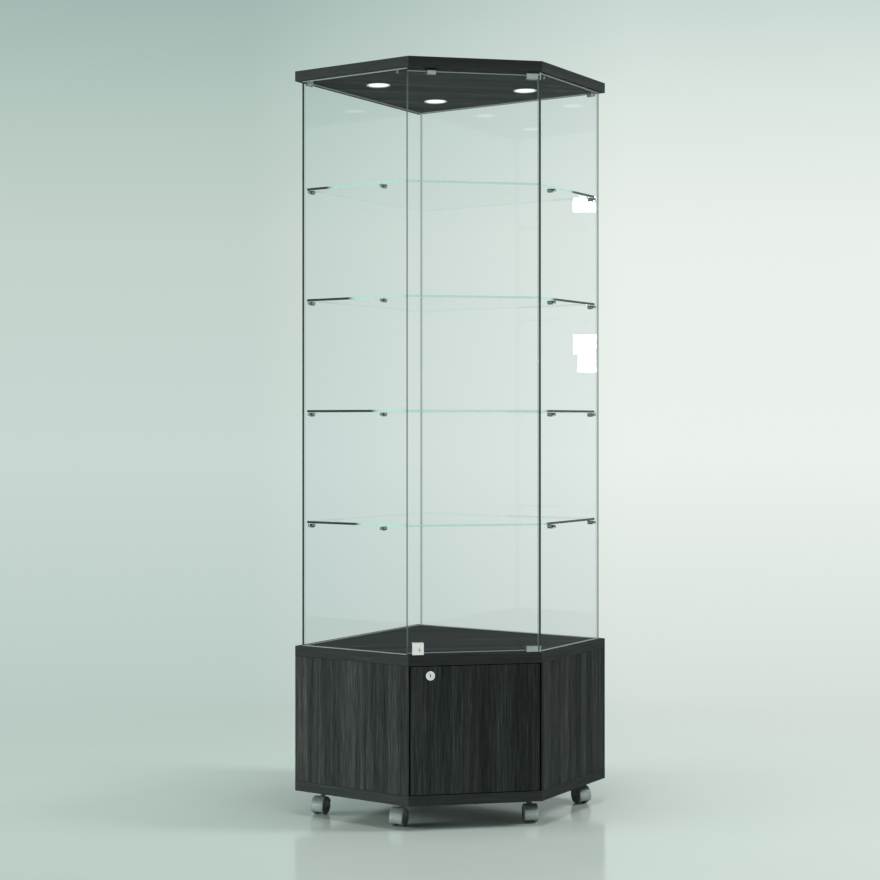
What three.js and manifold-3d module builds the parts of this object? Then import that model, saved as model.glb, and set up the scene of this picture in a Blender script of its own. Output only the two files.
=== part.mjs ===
// Corner display cabinet: a five-sided base cupboard on casters carries a glass case under a wood top.
// Millimetres, +Z up, the front faces -Y, the origin is on the floor in the middle of the outline.
import * as THREE from 'three';
import { mergeVertices } from 'three/addons/utils/BufferGeometryUtils.js';
import Module from 'manifold-3d';

const wasm = await Module();
wasm.setup();

// Plan and heights
const wallLength = 570; // from the back corner along each wall
const sideDepth = 336; // from each wall's end towards the front
const casterHeight = 60; // floor to the base's underside
const baseHeight = 360;
const displayHeight = 1405; // between the base and the top panel
const panelThickness = 25; // top panel, base top and base bottom
const boardThickness = 18; // base sides, backs and door

// Gaps and cuts
const seatGap = 0.3; // between pieces that rest on or against each other
const turnGap = 0.4; // round a pin or barrel that turns in its hole
const cutOverrun = 2; // how far a cut runs past the face that it opens
const grooveGap = 1; // round a bolt in its slot, and past the end of a pin in its hole

// Glass
const glassThickness = 6;
const wallGlassInset = 15; // glass face to the panel's edge, along the walls
const sideGlassInset = 10;
const doorGlassInset = 7.5;
const doorGlassTopGap = 8;
const doorGlassBottomGap = 4;
const doorToSideGap = 2; // door's inner face to the side glass's front edge
const doorSideReveal = 2.3; // door's free edge to the side glass's front corner, along X

// Shelves and the studs that carry them
const shelfThickness = 6;
const shelfCount = 4;
const shelfPitch = 276;
const firstShelfRise = 305; // base top to the underside of the lowest shelf
const shelfEdgeGap = 1.5; // to the fixed glass round it
const shelfFrontInset = 28; // shelf's front edge to the panel's front edge
const studRadius = 5.5;
const studLength = 13; // inside the glass
const studHeadThickness = 1.2; // outside the glass
const studHeadRadius = 4;
const studShankRadius = 2.5;
const studSeatDrop = 1.5; // the flat that the shelf lies on, below the stud's crown
const studWallSetback = 21; // from the side glass's wall edge
const studFrontSetback = 73; // from its front edge

// Glass door hinges: a clamp over the edge of the pane, a tongue, and a knuckle with its pin
const hingeLength = 28.5;
const hingeHeight = 13;
const hingeCheek = 3.5; // thickness of the clamp on each face of the pane
const hingeWeb = 2.5; // past the edge of the pane
const hingeSetback = 7; // clamp's end to the pivot axis
const knuckleRadius = 2.6;
const knuckleGap = 2; // to the pane's edge
const pivotInset = 3.7; // pivot axis to the side glass's front corner, along X
const pivotPinRadius = 1.8;
const pivotPinDepth = 8;

// Glass door lock: a case clamped on the lower edge, a barrel and a bolt that turns down into the base top
const glassLockWidth = 28.3;
const glassLockHeight = 28.5;
const glassLockFront = 6; // case in front of the pane
const glassLockRear = 4; // case behind the pane
const glassLockWeb = 2.7;
const glassLockSetback = 8.8; // from the pane's free edge
const glassBarrelRadius = 5;
const glassBarrelSetback = 9.9; // axis to the case's hinge-side end
const glassBarrelRise = 12.3; // axis above the base top
const glassBoltReach = 16;
const glassBoltWidth = 7;
const glassBoltThickness = 2;
const glassBoltCover = 3; // case in front of the bolt

// Magnet catch above the glass door
const strikeWidth = 21;
const strikeHeight = 8;
const strikeSheet = 1.2;
const strikeSetback = 47.2; // from the pane's free edge
const magnetWidth = 27;
const magnetDepth = 14;
const magnetHeight = 12;
const magnetGap = 0.5; // to the strike when the door is shut

// Brackets that hold the glass to the top panel
const bracketLeg = 22;
const bracketHeight = 11;
const bracketThickness = 6;
const clipWidth = 4.5;
const clipHeight = 9;
const clipDepth = 4.5;
const clipFrontSetback = 29; // from the side glass's front edge

// Base door, its pins and its cam lock
const doorSideGap = 4;
const doorEndGap = 2;
const returnWidth = 2; // side board's edge that shows beside the door
const basePinRadius = 3;
const basePinDepth = 9; // into the panel and into the door
const basePinInset = 14; // axis to the door's edge
const basePinCollar = 6; // radius of the collar between door and panel
const lockRoseRadius = 11;
const lockRoseThickness = 2;
const lockBodyRadius = 9;
const lockPlugRadius = 6.5;
const lockPlugProud = 0.6;
const lockEdgeDrop = 24; // axis below the base top panel
const lockSetback = 47.6; // axis to the door's free edge
const camReach = 30;
const camWidth = 10;
const camThickness = 2.5;
const keySlotWidth = 2.6;
const keySlotHeight = 7;
const keySlotDepth = 1.2;

// Downlights let into the top panel
const lampBezelRadius = 30;
const lampBezelThickness = 2;
const lampBodyRadius = 26;
const lampBodyDepth = 13;
const lampLensRadius = 22;
const lampLensRecess = 1.2;
const lampWallInset = 148; // axis to the nearest wall side
const lampFarReach = 418; // axis along the other wall

// Casters
const wheelRadius = 21;
const wheelWidth = 13;
const wheelGap = 8; // between the two wheels
const wheelShoulder = 2.6; // rounding of the tread's edges
const wheelDish = 1.8; // depth of the hub's recess
const wheelDishRadius = 11.5;
const axleRadius = 3.5;
const hoodClearance = 1.2;
const hoodThickness = 2.2;
const hoodWebThickness = 7;
const hoodBossRadius = 7.5;
const casterTrail = 12; // swivel axis to wheel axis
const neckRadius = 6;
const stemRadius = 4.5;
const stemDepth = 20;
const casterSideInset = 53; // swivel axis to the side face
const casterWallInset = 48;
const casterFrontSetbackLeft = 54.5; // from the front corner, along the side
const casterFrontSetbackRight = 30.6;

// Shares of a turn: where the hood starts behind the wheel and ends in front of it, from straight up
const hoodBackShare = -0.2;
const hoodFrontShare = 0.33;

// Shares of a turn from facing the front, for the way that each caster has been left standing
const facingShares = { back: 0, left: -0.105, front_left: -0.1, front_right: -0.015, right: 0.05 };

// Facets of round forms
const fineSides = 32;
const roundSides = 24;
const smallSides = 16;
const studSides = 14;
const shankSides = 8;
const hoodSteps = 12;

// Levels
const baseFloor = casterHeight + panelThickness;
const displayFloor = casterHeight + baseHeight;
const baseCeiling = displayFloor - panelThickness;
const displayCeiling = displayFloor + displayHeight;
const doorGlassLow = displayFloor + doorGlassBottomGap;
const doorGlassHigh = displayCeiling - doorGlassTopGap;
const boardLow = baseFloor + seatGap;
const boardHigh = baseCeiling - seatGap;
const glassLow = displayFloor + seatGap;
const glassHigh = displayCeiling - seatGap;

// Plan lines. "Left" and "right" distances run from the back corner along the two walls.
const diagonalShare = Math.SQRT1_2;
const fullTurn = 360; // degrees
const frontReach = (wallLength + sideDepth) * diagonalShare;
const frontHalf = (wallLength - sideDepth) * diagonalShare;
const backY = (frontReach + lockRoseThickness) / 2;
const frontY = backY - frontReach;
const sideGlassFace = wallLength - sideGlassInset;
const sideGlassInner = sideGlassFace - glassThickness;
const doorGlassOuterY = frontY + doorGlassInset;
const doorGlassInnerY = doorGlassOuterY + glassThickness;
const doorGlassMidY = doorGlassOuterY + glassThickness / 2;
const wallSum = (y) => (backY - y) / diagonalShare; // left plus right distance of every point at one y
const sideGlassFront = wallSum(doorGlassInnerY + doorToSideGap) - sideGlassFace;
const sideCornerX = (sideGlassFace - sideGlassFront) * diagonalShare;
const doorCornerX = sideCornerX - doorSideReveal;
const pivotX = sideCornerX - pivotInset;
const doorGlassRight = pivotX - knuckleRadius - knuckleGap;
const baseDoorHalf = frontHalf - returnWidth - doorSideGap;

const planPoint = (left, right) =>
  new THREE.Vector2((right - left) * diagonalShare, backY - (left + right) * diagonalShare);
const planPlace = (left, right, z) => {
  const point = planPoint(left, right);
  return new THREE.Vector3(point.x, point.y, z);
};
const mirrored = (points) => points.map((p) => new THREE.Vector2(-p.x, p.y)).reverse();

function solid(geometry) {
  geometry.deleteAttribute('normal');
  geometry.deleteAttribute('uv');
  const merged = mergeVertices(geometry);
  const index = merged.index.array;
  const kept = [];
  for (let i = 0; i < index.length; i += 3) {
    const [a, b, c] = [index[i], index[i + 1], index[i + 2]];
    if (a !== b && b !== c && c !== a) kept.push(a, b, c);
  }
  return new wasm.Manifold(new wasm.Mesh({
    numProp: 3,
    vertProperties: Float32Array.from(merged.attributes.position.array),
    triVerts: Uint32Array.from(kept),
  }));
}

// A plan outline raised from one level to another
function prism(points, low, high) {
  const geometry = new THREE.ExtrudeGeometry(new THREE.Shape(points), {
    depth: high - low,
    bevelEnabled: false,
  });
  return solid(geometry.translate(0, 0, low));
}

function block(x0, x1, y0, y1, z0, z1) {
  const geometry = new THREE.BoxGeometry(x1 - x0, y1 - y0, z1 - z0);
  return solid(geometry.translate((x0 + x1) / 2, (y0 + y1) / 2, (z0 + z1) / 2));
}

// A round rod between two points
function rod(from, to, radius, sides = roundSides) {
  const along = new THREE.Vector3().subVectors(to, from);
  const geometry = new THREE.CylinderGeometry(radius, radius, along.length(), sides);
  const turn = new THREE.Quaternion().setFromUnitVectors(new THREE.Vector3(0, 1, 0), along.clone().normalize());
  geometry.applyQuaternion(turn);
  const middle = new THREE.Vector3().addVectors(from, to).multiplyScalar(1 / 2);
  return solid(geometry.translate(middle.x, middle.y, middle.z));
}

const upright = (x, y, z0, z1, radius, sides) =>
  rod(new THREE.Vector3(x, y, z0), new THREE.Vector3(x, y, z1), radius, sides);
const across = (x, z, y0, y1, radius, sides) =>
  rod(new THREE.Vector3(x, y0, z), new THREE.Vector3(x, y1, z), radius, sides);

// Rectangle in wall distances
const wallRectangle = (left0, left1, right0, right1) => [
  planPoint(left0, right0),
  planPoint(left1, right0),
  planPoint(left1, right1),
  planPoint(left0, right1),
];

// Five-sided outline, set in from the walls, the sides and the front
function outline(wallInset, sideInset, frontInset) {
  const far = wallLength - sideInset;
  const near = wallSum(frontY + frontInset) - far;
  return [
    planPoint(wallInset, wallInset),
    planPoint(far, wallInset),
    planPoint(far, near),
    planPoint(near, far),
    planPoint(wallInset, far),
  ];
}

// Places shared by the pieces and their holes
const lampPlaces = {
  back: planPoint(lampWallInset, lampWallInset),
  left: planPoint(lampFarReach, lampWallInset),
  right: planPoint(lampWallInset, lampFarReach),
};
const casterFar = wallLength - casterSideInset;
const casterPlaces = {
  back: planPoint(casterWallInset, casterWallInset),
  left: planPoint(casterFar, casterWallInset),
  front_left: planPoint(casterFar, sideDepth - casterFrontSetbackLeft),
  front_right: planPoint(sideDepth - casterFrontSetbackRight, casterFar),
  right: planPoint(casterWallInset, casterFar),
};
const glassLock = {
  left: -doorCornerX + glassLockSetback,
  right: -doorCornerX + glassLockSetback + glassLockWidth,
  low: doorGlassLow - glassLockWeb - seatGap,
};
const glassBarrel = {
  x: glassLock.right - glassBarrelSetback,
  z: displayFloor + glassBarrelRise,
};
const glassBolt = {
  front: doorGlassOuterY - seatGap - glassLockFront + glassBoltCover,
};
glassBolt.back = glassBolt.front + glassBoltThickness;
const baseLock = {
  x: -baseDoorHalf + lockSetback,
  z: baseCeiling - lockEdgeDrop,
};
const cam = { front: frontY + boardThickness + seatGap };
cam.back = cam.front + camThickness;
const basePinX = baseDoorHalf - basePinInset;
const basePinY = frontY + boardThickness / 2;
const studPlaces = {
  back: wallGlassInset + studWallSetback,
  front: sideGlassFront - studFrontSetback,
};
const shelfLevel = (number) => displayFloor + firstShelfRise + (number - 1) * shelfPitch;
const studAxisLevel = (number) => shelfLevel(number) - seatGap - (studRadius - studSeatDrop);

// Slot that a bolt or cam sweeps into, from where its tip first crosses the panel's face
function sweepSlot(axisX, rise, reach, width, y0, y1, zFace, up) {
  const tip = Math.hypot(reach, width / 2);
  const entry = Math.sqrt(tip * tip - rise * rise);
  const depth = tip - rise + grooveGap;
  const [z0, z1] = up ? [zFace - cutOverrun, zFace + depth] : [zFace - depth, zFace + cutOverrun];
  return block(axisX - entry - grooveGap, axisX + width / 2 + grooveGap, y0 - grooveGap, y1 + grooveGap, z0, z1);
}

function topPanel() {
  let body = prism(outline(0, 0, 0), displayCeiling, displayCeiling + panelThickness);
  for (const place of Object.values(lampPlaces)) {
    body = body.subtract(upright(place.x, place.y, displayCeiling - cutOverrun,
      displayCeiling + lampBodyDepth + grooveGap, lampBodyRadius + grooveGap, roundSides));
  }
  return body.subtract(upright(pivotX, doorGlassMidY, displayCeiling - cutOverrun,
    displayCeiling + pivotPinDepth + grooveGap, pivotPinRadius + turnGap, smallSides));
}

function baseTop() {
  const pivotHole = upright(pivotX, doorGlassMidY, displayFloor - pivotPinDepth - grooveGap,
    displayFloor + cutOverrun, pivotPinRadius + turnGap, smallSides);
  const pinHole = upright(basePinX, basePinY, baseCeiling - cutOverrun,
    baseCeiling + basePinDepth + grooveGap, basePinRadius + turnGap, smallSides);
  const boltSlot = sweepSlot(glassBarrel.x, glassBarrelRise, glassBoltReach, glassBoltWidth,
    glassBolt.front, glassBolt.back, displayFloor, false);
  const camSlot = sweepSlot(baseLock.x, lockEdgeDrop, camReach, camWidth, cam.front, cam.back,
    baseCeiling, true);
  return prism(outline(0, 0, 0), baseCeiling, displayFloor)
    .subtract(pivotHole).subtract(pinHole).subtract(boltSlot).subtract(camSlot);
}

function baseBottom() {
  let body = prism(outline(0, 0, 0), casterHeight, baseFloor);
  for (const at of Object.values(casterPlaces)) {
    body = body.subtract(upright(at.x, at.y, casterHeight - cutOverrun,
      casterHeight + stemDepth + grooveGap, stemRadius + turnGap, smallSides));
  }
  return body.subtract(upright(basePinX, basePinY, baseFloor - basePinDepth - grooveGap,
    baseFloor + cutOverrun, basePinRadius + turnGap, smallSides));
}

// A side board ends in a narrow return beside the door
function sideBoardOutline() {
  const innerFace = wallLength - boardThickness;
  const returnX = -frontHalf + returnWidth;
  return [
    planPoint(wallLength, 0),
    planPoint(wallLength, sideDepth),
    new THREE.Vector2(returnX, frontY),
    new THREE.Vector2(returnX, backY - returnX - innerFace / diagonalShare),
    planPoint(innerFace, 0),
  ];
}

function addBaseCase(add) {
  const inner = wallLength - boardThickness - seatGap;
  add('base_bottom', baseBottom(), 'wood');
  add('base_top', baseTop(), 'wood');
  add('base_side_left', prism(sideBoardOutline(), boardLow, boardHigh), 'wood');
  add('base_side_right', prism(mirrored(sideBoardOutline()), boardLow, boardHigh), 'wood');
  add('base_back_left', prism(wallRectangle(0, inner, 0, boardThickness), boardLow, boardHigh), 'wood');
  add('base_back_right', prism(wallRectangle(0, boardThickness, boardThickness + seatGap, inner),
    boardLow, boardHigh), 'wood');
}

const doorLow = baseFloor + doorEndGap;
const doorHigh = baseCeiling - doorEndGap;

function baseDoor() {
  const pinHole = (z0, z1) => upright(basePinX, basePinY, z0, z1, basePinRadius + turnGap, smallSides);
  return block(-baseDoorHalf, baseDoorHalf, frontY, frontY + boardThickness, doorLow, doorHigh)
    .subtract(pinHole(doorLow - cutOverrun, doorLow + basePinDepth + grooveGap))
    .subtract(pinHole(doorHigh - basePinDepth - grooveGap, doorHigh + cutOverrun))
    .subtract(across(baseLock.x, baseLock.z, frontY - cutOverrun,
      frontY + boardThickness + cutOverrun, lockBodyRadius + seatGap, roundSides));
}

// Pin with a collar that fills the gap between door and panel
function basePin(panelFace, towardsDoor) {
  const level = (distance) => panelFace + towardsDoor * distance;
  const ordered = (a, b) => [Math.min(a, b), Math.max(a, b)];
  const [z0, z1] = ordered(level(-basePinDepth), level(doorEndGap + basePinDepth));
  const [c0, c1] = ordered(level(seatGap), level(doorEndGap - seatGap));
  return upright(basePinX, basePinY, z0, z1, basePinRadius, smallSides)
    .add(upright(basePinX, basePinY, c0, c1, basePinCollar, smallSides));
}

function baseLockCase() {
  const bore = across(baseLock.x, baseLock.z, frontY - lockRoseThickness - cutOverrun,
    frontY + boardThickness + cutOverrun, lockPlugRadius + turnGap, fineSides);
  return across(baseLock.x, baseLock.z, frontY - lockRoseThickness, frontY - seatGap, lockRoseRadius, fineSides)
    .add(across(baseLock.x, baseLock.z, frontY - lockRoseThickness / 2, frontY + boardThickness,
      lockBodyRadius, roundSides))
    .subtract(bore);
}

// Plug with a key slot in its face and the cam on its rear end, which points to the free edge when unlocked
function baseLockBarrel() {
  const face = frontY - lockRoseThickness + lockPlugProud;
  const camPlate = block(baseLock.x - camReach, baseLock.x + camWidth / 2, cam.front, cam.back,
    baseLock.z - camWidth / 2, baseLock.z + camWidth / 2);
  const keySlot = block(baseLock.x - keySlotWidth / 2, baseLock.x + keySlotWidth / 2, face - cutOverrun,
    face + keySlotDepth, baseLock.z - keySlotHeight / 2, baseLock.z + keySlotHeight / 2);
  return across(baseLock.x, baseLock.z, face, cam.back, lockPlugRadius, fineSides)
    .add(camPlate).subtract(keySlot);
}

function addBaseDoor(add) {
  add('base_door', baseDoor(), 'wood');
  add('base_hinge_pin_lower', basePin(baseFloor, 1), 'metal');
  add('base_hinge_pin_upper', basePin(baseCeiling, -1), 'metal');
  add('base_lock_case', baseLockCase(), 'metal');
  add('base_lock_barrel', baseLockBarrel(), 'metal');
}

// Side glass of the left side, drilled for its shelf studs
function sideGlass(side) {
  const points = wallRectangle(sideGlassInner, sideGlassFace, wallGlassInset, sideGlassFront);
  let body = prism(side === 'left' ? points : mirrored(points), glassLow, glassHigh);
  for (let number = 1; number <= shelfCount; number += 1) {
    for (const along of Object.values(studPlaces)) {
      body = body.subtract(studRod(side, along, studAxisLevel(number), sideGlassInner - cutOverrun,
        sideGlassFace + cutOverrun, studShankRadius + turnGap, shankSides));
    }
  }
  return body;
}

// Rod square to a side glass, between two distances from the opposite wall's line
function studRod(side, along, z, from, to, radius, sides) {
  const place = (reach) => (side === 'left' ? planPlace(reach, along, z) : planPlace(along, reach, z));
  return rod(place(from), place(to), radius, sides);
}

function shelfStud(side, along, number) {
  const z = studAxisLevel(number);
  const innerFace = sideGlassInner - seatGap;
  const headFace = sideGlassFace + seatGap;
  const seat = z + studRadius - studSeatDrop;
  const cut = [innerFace - studLength - cutOverrun, innerFace + cutOverrun];
  const width = [along - studRadius - cutOverrun, along + studRadius + cutOverrun];
  const flat = side === 'left' ? wallRectangle(...cut, ...width) : wallRectangle(...width, ...cut);
  return studRod(side, along, z, innerFace - studLength, innerFace, studRadius, studSides)
    .subtract(prism(flat, seat, seat + studRadius))
    .add(studRod(side, along, z, innerFace - studShankRadius, headFace + studHeadThickness / 2,
      studShankRadius, shankSides))
    .add(studRod(side, along, z, headFace, headFace + studHeadThickness, studHeadRadius, studSides));
}

function addGlassCase(add) {
  const inner = sideGlassInner - seatGap;
  const wallInner = wallGlassInset + glassThickness;
  add('glass_back_left', prism(wallRectangle(wallGlassInset, inner, wallGlassInset, wallInner),
    glassLow, glassHigh), 'glass');
  add('glass_back_right', prism(wallRectangle(wallGlassInset, wallInner, wallInner + seatGap, inner),
    glassLow, glassHigh), 'glass');
  for (const side of ['left', 'right']) add(`glass_side_${side}`, sideGlass(side), 'glass');
  const wallEdge = wallInner + shelfEdgeGap;
  const sideEdge = wallLength - (sideGlassInner - shelfEdgeGap);
  for (let number = 1; number <= shelfCount; number += 1) {
    const level = shelfLevel(number);
    add(`shelf_${number}`, prism(outline(wallEdge, sideEdge, shelfFrontInset), level,
      level + shelfThickness), 'glass');
    for (const side of ['left', 'right']) {
      for (const [place, along] of Object.entries(studPlaces)) {
        add(`shelf_stud_${number}_${side}_${place}`, shelfStud(side, along, number), 'metal');
      }
    }
  }
}

// Clamp of two cheeks and a web, with a tongue from the web to the knuckle and its pin
function glassHinge(edge, panelFace, away) {
  const levels = (from, to) => [edge + away * from, edge + away * to].sort((a, b) => a - b);
  const [z0, z1] = levels(-hingeWeb, hingeHeight - hingeWeb);
  const [s0, s1] = levels(-seatGap, hingeHeight);
  const knuckle = [panelFace + away * seatGap, edge + away * (hingeHeight - hingeWeb)].sort((a, b) => a - b);
  const pin = [panelFace - away * pivotPinDepth, edge].sort((a, b) => a - b);
  const y0 = doorGlassOuterY - seatGap;
  const y1 = doorGlassInnerY + seatGap;
  const end = pivotX - hingeSetback;
  const clamp = block(end - hingeLength, end, y0 - hingeCheek, y1 + hingeCheek, z0, z1);
  const slot = block(end - hingeLength - cutOverrun, end + cutOverrun, y0, y1, s0, s1);
  return clamp.subtract(slot)
    .add(block(end - hingeSetback, pivotX, doorGlassMidY - knuckleRadius, doorGlassMidY + knuckleRadius,
      ...levels(-hingeWeb, -seatGap)))
    .add(upright(pivotX, doorGlassMidY, ...knuckle, knuckleRadius, roundSides))
    .add(upright(pivotX, doorGlassMidY, ...pin, pivotPinRadius, smallSides));
}

// Case round the pane's lower edge, with the barrel's bore and the slot that the bolt turns in
function glassLockCase() {
  const y0 = doorGlassOuterY - seatGap - glassLockFront;
  const y1 = doorGlassInnerY + seatGap + glassLockRear;
  const high = glassLock.low + glassLockHeight;
  const paneSlot = block(glassLock.left - cutOverrun, glassLock.right + cutOverrun,
    doorGlassOuterY - seatGap, doorGlassInnerY + seatGap, doorGlassLow - seatGap, high + cutOverrun);
  const bore = across(glassBarrel.x, glassBarrel.z, y0 - cutOverrun, glassBolt.back + seatGap,
    glassBarrelRadius + turnGap, roundSides);
  const sweep = Math.hypot(glassBoltReach, glassBoltWidth / 2) + grooveGap;
  const boltSlot = block(glassBarrel.x - sweep, glassBarrel.x + glassBarrelRadius + turnGap,
    glassBolt.front - seatGap, glassBolt.back + seatGap, glassLock.low - cutOverrun,
    glassBarrel.z + glassBarrelRadius + turnGap);
  return block(glassLock.left, glassLock.right, y0, y1, glassLock.low, high)
    .subtract(paneSlot).subtract(bore).subtract(boltSlot);
}

// Barrel with its bolt, which points to the free edge when unlocked
function glassLockBarrel() {
  const face = doorGlassOuterY - seatGap - glassLockFront - lockPlugProud;
  const bolt = block(glassBarrel.x - glassBoltReach, glassBarrel.x + glassBoltWidth / 2, glassBolt.front,
    glassBolt.back, glassBarrel.z - glassBoltWidth / 2, glassBarrel.z + glassBoltWidth / 2);
  const keySlot = block(glassBarrel.x - keySlotWidth / 2, glassBarrel.x + keySlotWidth / 2,
    face - cutOverrun, face + keySlotDepth, glassBarrel.z - glassBarrelRadius / 2,
    glassBarrel.z + glassBarrelRadius / 2);
  return across(glassBarrel.x, glassBarrel.z, face, glassBolt.back, glassBarrelRadius, roundSides)
    .add(bolt).subtract(keySlot);
}

// Strike folded over the pane's upper edge
function catchPlate() {
  const x0 = -doorCornerX + strikeSetback;
  const y0 = doorGlassOuterY - seatGap;
  const y1 = doorGlassInnerY + seatGap;
  const high = doorGlassHigh + seatGap;
  return block(x0, x0 + strikeWidth, y0 - strikeSheet, y1 + strikeSheet, doorGlassHigh - strikeHeight,
    high + strikeSheet).subtract(block(x0 - cutOverrun, x0 + strikeWidth + cutOverrun, y0, y1,
    doorGlassHigh - strikeHeight - cutOverrun, high));
}

function catchMagnet() {
  const middle = -doorCornerX + strikeSetback + strikeWidth / 2;
  const y0 = doorGlassInnerY + seatGap + strikeSheet + magnetGap;
  return block(middle - magnetWidth / 2, middle + magnetWidth / 2, y0, y0 + magnetDepth,
    glassHigh - magnetHeight, glassHigh);
}

function addGlassDoor(add) {
  add('glass_door', block(-doorCornerX, doorGlassRight, doorGlassOuterY, doorGlassInnerY,
    doorGlassLow, doorGlassHigh), 'glass');
  add('glass_hinge_lower', glassHinge(doorGlassLow, displayFloor, 1), 'metal');
  add('glass_hinge_upper', glassHinge(doorGlassHigh, displayCeiling, -1), 'metal');
  add('glass_lock_case', glassLockCase(), 'metal');
  add('glass_lock_barrel', glassLockBarrel(), 'metal');
  add('catch_plate', catchPlate(), 'metal');
  add('catch_magnet', catchMagnet(), 'metal');
}

// Angle bracket in the corner of a back pane and a side pane, under the top panel
function cornerBracketOutline() {
  const wallFace = wallGlassInset + glassThickness + seatGap;
  const sideFace = sideGlassInner - seatGap;
  return [
    planPoint(sideFace, wallFace),
    planPoint(sideFace, wallFace + bracketLeg),
    planPoint(sideFace - bracketThickness, wallFace + bracketLeg),
    planPoint(sideFace - bracketThickness, wallFace + bracketThickness),
    planPoint(sideFace - bracketLeg, wallFace + bracketThickness),
    planPoint(sideFace - bracketLeg, wallFace),
  ];
}

function addTop(add) {
  add('top_panel', topPanel(), 'wood');
  const corner = cornerBracketOutline();
  const face = sideGlassInner - seatGap;
  const start = sideGlassFront - clipFrontSetback - clipWidth;
  const clip = wallRectangle(face - clipDepth, face, start, start + clipWidth);
  for (const [side, points] of [['left', (p) => p], ['right', mirrored]]) {
    add(`corner_bracket_${side}`, prism(points(corner), glassHigh - bracketHeight, glassHigh), 'metal');
    add(`front_clip_${side}`, prism(points(clip), glassHigh - clipHeight, glassHigh), 'metal');
  }
  for (const [side, place] of Object.entries(lampPlaces)) add(`downlight_${side}`, downlight(place), 'lamp');
}

// Bezel, lens recess and body turned in one piece
function downlight(place) {
  const face = -seatGap - lampBezelThickness;
  const profile = [
    [0, face + lampLensRecess],
    [lampLensRadius, face + lampLensRecess],
    [lampLensRadius + lampLensRecess, face],
    [lampBezelRadius - lampLensRecess, face],
    [lampBezelRadius, face + lampLensRecess],
    [lampBezelRadius, -seatGap],
    [lampBodyRadius, -seatGap],
    [lampBodyRadius, lampBodyDepth],
    [0, lampBodyDepth],
  ].map(([r, z]) => new THREE.Vector2(r, z));
  const geometry = new THREE.LatheGeometry(profile, roundSides).rotateX(Math.PI / 2);
  return solid(geometry.translate(place.x, place.y, displayCeiling));
}

// Wheel pair turned in one piece about its axle, which lies along X, with a flat of the tread on the floor
function wheelPair() {
  const outer = wheelGap / 2 + wheelWidth;
  const facetTurn = Math.PI / roundSides;
  const tread = wheelRadius / Math.cos(facetTurn);
  const side = [
    [0, outer - wheelDish],
    [wheelDishRadius - wheelDish, outer - wheelDish],
    [wheelDishRadius, outer],
    [tread - wheelShoulder, outer],
    [tread, outer - wheelShoulder],
    [tread, wheelGap / 2],
    [axleRadius, wheelGap / 2],
  ];
  const profile = [...side.map(([r, x]) => [r, -x]), ...side.toReversed()];
  const points = profile.map(([r, x]) => new THREE.Vector2(r, x));
  const geometry = new THREE.LatheGeometry(points, roundSides, facetTurn).rotateZ(-Math.PI / 2);
  return solid(geometry.rotateX(Math.PI / 2).translate(0, -casterTrail, wheelRadius));
}

// Points of an arc round the wheel's axis, from behind the wheel over it to its front
function hoodArc(radius) {
  const points = [];
  for (let i = 0; i <= hoodSteps; i += 1) {
    const share = hoodBackShare + ((hoodFrontShare - hoodBackShare) * i) / hoodSteps;
    const angle = share * 2 * Math.PI;
    points.push(new THREE.Vector2(-casterTrail - radius * Math.sin(angle), wheelRadius + radius * Math.cos(angle)));
  }
  return points;
}

// A side view in Y and Z given a width along X
function slab(points, width) {
  const geometry = new THREE.ExtrudeGeometry(new THREE.Shape(points), { depth: width, bevelEnabled: false });
  geometry.translate(0, 0, -width / 2).rotateX(Math.PI / 2).rotateZ(Math.PI / 2);
  return solid(geometry);
}

// Hood over both wheels, the web between them, the boss round the axle, the neck and the stem
function casterHousing() {
  const inner = wheelRadius + hoodClearance;
  const outer = inner + hoodThickness;
  const shell = slab([...hoodArc(outer), ...hoodArc(inner).reverse()], wheelGap + 2 * wheelWidth);
  const middle = new THREE.Vector2(-casterTrail, wheelRadius);
  const web = slab([...hoodArc(inner + hoodThickness / 2), middle], hoodWebThickness);
  const sideways = (reach) => new THREE.Vector3(reach, -casterTrail, wheelRadius);
  const boss = rod(sideways(-hoodWebThickness / 2), sideways(hoodWebThickness / 2), hoodBossRadius,
    smallSides);
  const bore = rod(sideways(-wheelGap), sideways(wheelGap), axleRadius + turnGap, roundSides);
  const neckLow = wheelRadius + Math.sqrt(inner * inner - casterTrail * casterTrail) - neckRadius;
  const neck = upright(0, 0, neckLow, casterHeight - seatGap, neckRadius, smallSides);
  const wheelRoom = rod(sideways(-wheelGap - wheelWidth), sideways(-wheelGap / 2), inner, fineSides)
    .add(rod(sideways(wheelGap / 2), sideways(wheelGap + wheelWidth), inner, fineSides));
  return neck.subtract(wheelRoom).add(shell).add(web).add(boss).subtract(bore)
    .add(upright(0, 0, casterHeight - neckRadius, casterHeight + stemDepth, stemRadius, smallSides));
}

function addCasters(add) {
  for (const [place, at] of Object.entries(casterPlaces)) {
    const set = (piece) => piece.rotate([0, 0, fullTurn * facingShares[place]]).translate([at.x, at.y, 0]);
    add(`caster_housing_${place}`, set(casterHousing()), 'caster');
    add(`caster_wheels_${place}`, set(wheelPair()), 'caster');
  }
}

const finishes = {
  wood: { color: 0x2f3331, roughness: 0.6 },
  glass: { color: 0xbfe0d8, roughness: 0.05, transparent: true, opacity: 0.35 },
  metal: { color: 0xc8ccca, roughness: 0.25, metalness: 1 },
  lamp: { color: 0xf2f4f0, roughness: 0.4 },
  caster: { color: 0x9aa5a2, roughness: 0.5 },
};

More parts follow.
